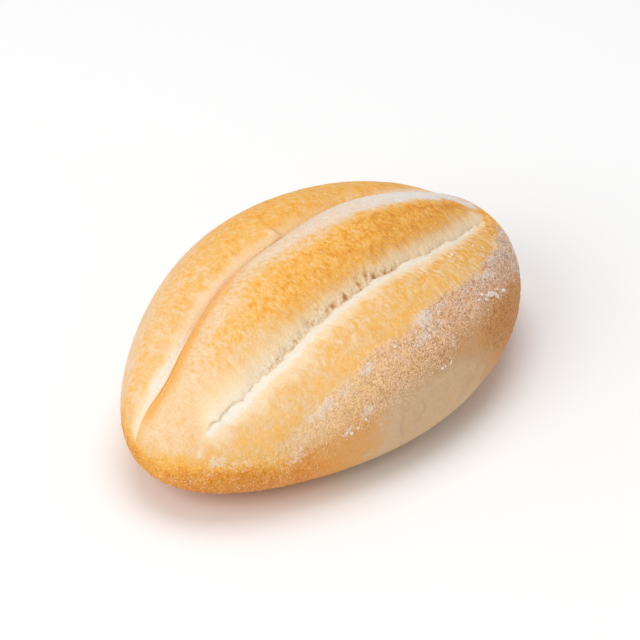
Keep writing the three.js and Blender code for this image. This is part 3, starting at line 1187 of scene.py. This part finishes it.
def floured_colour(tree, mask, millimetres, colour):
    """The floured crust's colour, and the height of its grit."""
    film_share = step(tree, "ADD", noise(tree, millimetres, 1.3, 3.0, 0.7), FILM_LEAST)
    colour = mix(tree, step(tree, "MULTIPLY", film_share, mask["film"], clamp=True), colour, FILM_WHITE)
    dust = flour_dust(tree, millimetres, mask["sandy"], SAND_GRAIN)
    sand = ramp_colour(tree, mask["tone"], SAND_RAMP)
    sand = mix(tree, times(tree, mask["low"], LOW_SHOWS), sand, colour)
    between_grains = step(tree, "SUBTRACT", 1.0, dust["Grit"])
    # Painted shade: warm dark in the hollows between grains, where shade falls.
    hollow_shade = times(tree, between_grains, times(tree, mask["gritty"], HOLLOW_SHADE_SHARE))
    sand = mix(tree, hollow_shade, sand, SAND_HOLLOW_SHADE)
    colour = mix(tree, times(tree, dust["Dust"], SAND_SHARE), colour, sand)
    thick = flour_dust(tree, millimetres, mask["smudge"], SMUDGE_GRAIN)
    white = times(tree, thick["Dust"], scaled(tree, thick["Grit"], SMUDGE_GRIT, SMUDGE_LEAST))
    return mix(tree, white, colour, FLOUR_WHITE), times(tree, dust["Grit"], mask["gritty"])


print("shades of sand:", len(SAND_RAMP))

# %% [markdown]
# The crust is dry and barely shines. A last step makes grains and clumps lighter and darker, and the dark
# ones richer: on the sand this is painted light and shade on the grains, elsewhere a random tone. Ridges
# and grit too fine for the mesh are bump.

# %% Crust material
PLAIN_CONTRAST = 0.3
FILM_CONTRAST = 0.2
GRIT_LIGHT_AND_SHADE = 1.3
CLUMP_LIGHT_AND_SHADE = 0.9
DABS_DARKEN = -0.25
DARK_RICHER = -0.35
GRIT_BUMP = 3.2
GRAIN_BUMP = 0.7
RIDGE_BUMP = -0.8
BUMP_STRENGTH = 0.6
BUMP_DISTANCE = 0.3 * MM


def uneven_light(tree, mask, millimetres, grain):
    # On the sand, grain and clump contrast is painted light and shade on the grains; elsewhere a random
    # tone.
    plain = scaled(tree, mask["film"], FILM_CONTRAST, PLAIN_CONTRAST)
    contrast = scaled(tree, mask["gritty"], GRIT_LIGHT_AND_SHADE, plain)
    clumped = times(tree, even_noise(tree, millimetres, 0.7, 2.0, 0.6), mask["gritty"])
    return scaled(tree, clumped, CLUMP_LIGHT_AND_SHADE, times(tree, grain, contrast))


def make_crust_material():
    material, surface = new_material("baked_crust", roughness=0.62, specular=0.2)
    tree = material.node_tree
    way = attribute(tree, "way", "Vector")
    mask = {name: attribute(tree, name) for name in MASKS}
    millimetres = place_in_mm(tree)
    stroke = strokes(tree, way, width=1.3, length=2.1)
    fine = strokes(tree, way, width=0.8, length=1.7)
    colour = baked_colour(tree, mask, millimetres, stroke, fine)
    colour = crease_colour(tree, mask, way, millimetres, colour, stroke)
    colour, grit = floured_colour(tree, mask, millimetres, colour)
    grain = even_noise(tree, millimetres, 1.6, 2.0, 0.75)
    uneven = uneven_light(tree, mask, millimetres, grain)
    dabs = times(tree, stroke, mask["vigour"])
    shading = {
        "Saturation": scaled(tree, uneven, DARK_RICHER, 1.0),
        "Value": scaled(tree, dabs, DABS_DARKEN, step(tree, "ADD", uneven, 1.0)),
        "Color": colour,
    }
    shaded = place(tree, "ShaderNodeHueSaturation", shading)
    tree.links.new(shaded.outputs["Color"], surface.inputs["Base Color"])
    grains_up = scaled(tree, grain, GRAIN_BUMP, times(tree, grit, GRIT_BUMP))
    bump_height = scaled(tree, times(tree, fine, mask["vigour"]), RIDGE_BUMP, grains_up)
    bump_inputs = {"Height": bump_height, "Strength": BUMP_STRENGTH, "Distance": BUMP_DISTANCE}
    bump = place(tree, "ShaderNodeBump", bump_inputs)
    tree.links.new(bump.outputs["Normal"], surface.inputs["Normal"])
    return material


crust.data.materials.append(make_crust_material())
print("crust material:", crust.data.materials[0].name)

# %% [markdown]
# Loose flour is matt. Most grains are as tan as the crust below, and those in smudges are white, so each
# grain carries a tone that a ramp turns into its colour.

# %% Flour material
GRAIN_RAMP = (
    (0.0, 252, 210, 152),
    (0.35, 249, 212, 174),
    (0.7, 236, 206, 182),
    (1.0, 242, 230, 220),
)
FLOUR_DENSITY = 0.6
FLOUR_GRAIN = 0.9
FLOUR_SPECKLE = 0.2


def make_flour_material():
    material, surface = new_material("dry_flour", roughness=0.9, specular=0.1)
    tree = material.node_tree
    grit = flour_dust(tree, place_in_mm(tree), FLOUR_DENSITY, FLOUR_GRAIN)["Grit"]
    shade = scaled(tree, step(tree, "SUBTRACT", grit, 0.5), FLOUR_SPECKLE, attribute(tree, "tone"))
    tree.links.new(ramp_colour(tree, shade, GRAIN_RAMP), surface.inputs["Base Color"])
    return material


FLOUR = make_flour_material()
print("flour material:", FLOUR.name)

# %% [markdown]
# The coarsest flour stands up as grains that catch the light one by one. Particles could scatter them, but
# small blobs at true size, joined into one piece, stay in the mesh. More lie where the flour is thick.

# %% Flour grains
GRAINS = 9800
GRAIN_RADII = (0.12, 0.32)
GRAIN_SQUASH = (0.7, 1.15)
GRAIN_BUMPS = (0.85, 1.15)
GRAIN_TONES = (-0.4, 0.5)
GRAIN_SINK = 0.5
SAND_GRAINS = 0.6
SMUDGE_GRAINS = 1.4
FILM_GRAINS = 0.02
NOSE_GRAINS = 0.1
LEAST_CLUMP = 0.25
SMUDGE_PALER = 0.5
GRAIN_SEED = 7
BALL_CORNERS = 12
ONE_SIDE = 1.01
far_sand = line_over((-75, 0.3), (-45, 0.5), (-20, 1))


def ball_mesh():
    """The corners and faces of an icosahedron of radius 1."""
    golden = (1 + math.sqrt(5)) / 2
    corners = [(0, a, b * golden) for a in (-1, 1) for b in (-1, 1)]
    corners += [(a, b * golden, 0) for a in (-1, 1) for b in (-1, 1)]
    corners += [(b * golden, 0, a) for a in (-1, 1) for b in (-1, 1)]
    points = np.array(corners, float) / math.hypot(1, golden)
    side = min(np.linalg.norm(points[0] - other) for other in points[1:])
    faces = []
    for corner in itertools.combinations(range(BALL_CORNERS), 3):
        a, b, c = (points[index] for index in corner)
        if max(np.linalg.norm(b - a), np.linalg.norm(c - b), np.linalg.norm(c - a)) < side * ONE_SIDE:
            outwards = np.dot(np.cross(b - a, c - a), a) > 0
            faces.append(corner if outwards else (corner[0], corner[2], corner[1]))
    return points, np.array(faces)


def spread_places(density, count, rng):
    """Random grid places on the crust, drawn by density and area: ring, column, point."""
    widths = np.linalg.norm(np.roll(crust_points, -1, axis=1) - crust_points, axis=-1)[:-1]
    lengths = np.linalg.norm(np.diff(crust_points, axis=0), axis=-1)
    weight = (density[:-1] * widths * lengths).ravel()
    chosen = rng.choice(weight.size, count, p=weight / weight.sum())
    ring, column = np.divmod(chosen, columns)
    beside = (column + 1) % columns
    u, v = rng.uniform(size=(2, count, 1))
    near = crust_points[ring, column] * (1 - u) + crust_points[ring, beside] * u
    far = crust_points[ring + 1, column] * (1 - u) + crust_points[ring + 1, beside] * u
    return ring, column, near * (1 - v) + far * v


def make_grains():
    rng = np.random.default_rng(GRAIN_SEED)
    clumps = LEAST_CLUMP + ease(patch_noise(3.0, seed=41), -0.6, 0.6)
    clumps = clumps + ease(patch_noise(1.2, seed=44), -0.2, 0.6)
    density = np.maximum(SAND_GRAINS * sandy * far_sand, SMUDGE_GRAINS * smudge) * clumps
    density = density + FILM_GRAINS * film + NOSE_GRAINS * nose_rough * clumps
    ring, column, spots = spread_places(density, GRAINS, rng)
    ball, faces = ball_mesh()
    radius = rng.uniform(*GRAIN_RADII, size=(GRAINS, 1, 1))
    squash = rng.uniform(*GRAIN_SQUASH, size=(GRAINS, 1, 3))
    blobs = ball * radius * squash * rng.uniform(*GRAIN_BUMPS, size=(GRAINS, BALL_CORNERS, 1))
    sunk = spots - normals[ring, column] * (radius[:, 0] * GRAIN_SINK)
    points = (blobs + sunk[:, None, :]).reshape(-1, 3)
    all_faces = faces[None] + BALL_CORNERS * np.arange(GRAINS)[:, None, None]
    piece = make_piece("flour_grains", points, all_faces.reshape(-1, 3).tolist())
    pale = tone[ring, column] + SMUDGE_PALER * smudge[ring, column] + rng.uniform(*GRAIN_TONES, GRAINS)
    add_attribute(piece.data, "tone", np.repeat(np.clip(pale, 0, 1), BALL_CORNERS))
    return piece


grains = make_grains()
grains.data.materials.append(FLOUR)
print("flour grains:", GRAINS, "faces:", len(grains.data.polygons))

# %% [markdown]
# A few lumps are bigger: flat chips of dried flour paste towards the far end, and specks elsewhere. A ball
# would look like a pearl, so each is pushed towards a box, cut by planes and laid flat on the crust.

# %% Flour lumps
# place along, distance from the front crease, half length, half width, turn in degrees
LUMPS = (
    (30.6, -25.2, 1.7, 0.95, -30),
    (33.2, -25.8, 1.5, 1.0, -48),
    (26.4, -23.8, 0.9, 0.55, -10),
    (27.4, -25.7, 0.9, 0.6, -60),
    (28.6, -24.5, 0.6, 0.5, -30),
    (35.0, -24.4, 0.7, 0.5, -40),
    (38.2, -25.4, 1.0, 0.8, 0),
    (24.0, -25.2, 0.5, 0.35, 0),
    (-1.7, -38.0, 0.6, 0.4, -20),
    (-0.6, -37.6, 0.4, 0.3, 30),
    (2.1, -37.2, 0.8, 0.3, 20),
    (29.0, -9.0, 0.8, 0.6, 10),
    (31.0, -9.4, 0.4, 0.3, 50),
    (40.6, -9.2, 0.6, 0.4, 30),
    (-37.0, -33.0, 0.5, 0.4, 15),
    (-35.4, -34.2, 0.6, 0.5, 45),
    (-33.0, -34.6, 0.5, 0.4, 80),
    (-30.5, -35.0, 0.4, 0.4, 0),
    (-13.0, -23.8, 0.5, 0.4, 20),
)
LUMP_HEIGHT = 0.45
LUMP_LEAST_HEIGHT = 0.12
LUMP_LIFT = 0.4
LUMP_BOXINESS = 0.4
LUMP_CUTS = 9
LUMP_CUT_REACH = (0.5, 0.9)
LUMP_TONE = 0.9
LUMP_SEED = 19


def finer(points, faces):
    """Split each triangle of a ball into four and push the new corners out to the ball."""
    middles = {}
    points = [tuple(point) for point in points]

    def middle(a, b):
        key = (min(a, b), max(a, b))
        if key not in middles:
            half = np.array(points[a]) + np.array(points[b])
            points.append(tuple(half / np.linalg.norm(half)))
            middles[key] = len(points) - 1
        return middles[key]

    split = []
    for a, b, c in faces:
        ab, bc, ca = middle(a, b), middle(b, c), middle(c, a)
        split += [(a, ab, ca), (b, bc, ab), (c, ca, bc), (ab, bc, ca)]
    return np.array(points), np.array(split)


def chipped(ball, rng):
    """A ball pushed towards a box, with a few flat facets broken off it."""
    points = signed_power(ball, LUMP_BOXINESS)
    for cut in rng.normal(size=(LUMP_CUTS, 3)):
        cut = cut / np.linalg.norm(cut)
        over = np.maximum(points @ cut - rng.uniform(*LUMP_CUT_REACH), 0)
        points = points - over[:, None] * cut
    return points


def lump_axes(up, turn):
    """Three unit directions for a lump: two on the crust, turned by degrees, and one out of it."""
    lengthwise = np.array([1.0, 0, 0]) - up * up[0]
    lengthwise = lengthwise / np.linalg.norm(lengthwise)
    angle = math.radians(turn)
    first = lengthwise * math.cos(angle) + np.cross(up, lengthwise) * math.sin(angle)
    return np.stack([first, np.cross(up, first), up])


def make_lumps():
    rng = np.random.default_rng(LUMP_SEED)
    ball, faces = finer(*finer(*ball_mesh()))
    all_points = []
    all_faces = []
    for x, gap, half_long, half_wide, turn in LUMPS:
        misses = np.where(front_side, np.hypot(place_along - x, front_gap - gap), np.inf)
        ring, column = np.unravel_index(misses.argmin(), misses.shape)
        up = normals[ring, column]
        size = np.array([half_long, half_wide, LUMP_HEIGHT * half_wide + LUMP_LEAST_HEIGHT])
        centre = crust_points[ring, column] + up * LUMP_LIFT * size[2]
        all_faces.append(faces + len(ball) * len(all_points))
        all_points.append(chipped(ball, rng) * size @ lump_axes(up, turn) + centre)
    piece = make_piece("flour_lumps", np.concatenate(all_points), np.concatenate(all_faces).tolist())
    piece.data.polygons.foreach_set("use_smooth", [False] * len(piece.data.polygons))
    add_attribute(piece.data, "tone", np.full(len(piece.data.vertices), LUMP_TONE))
    return piece


lumps = make_lumps()
lumps.data.materials.append(FLOUR)
print("flour lumps:", len(LUMPS), "faces:", len(lumps.data.polygons))
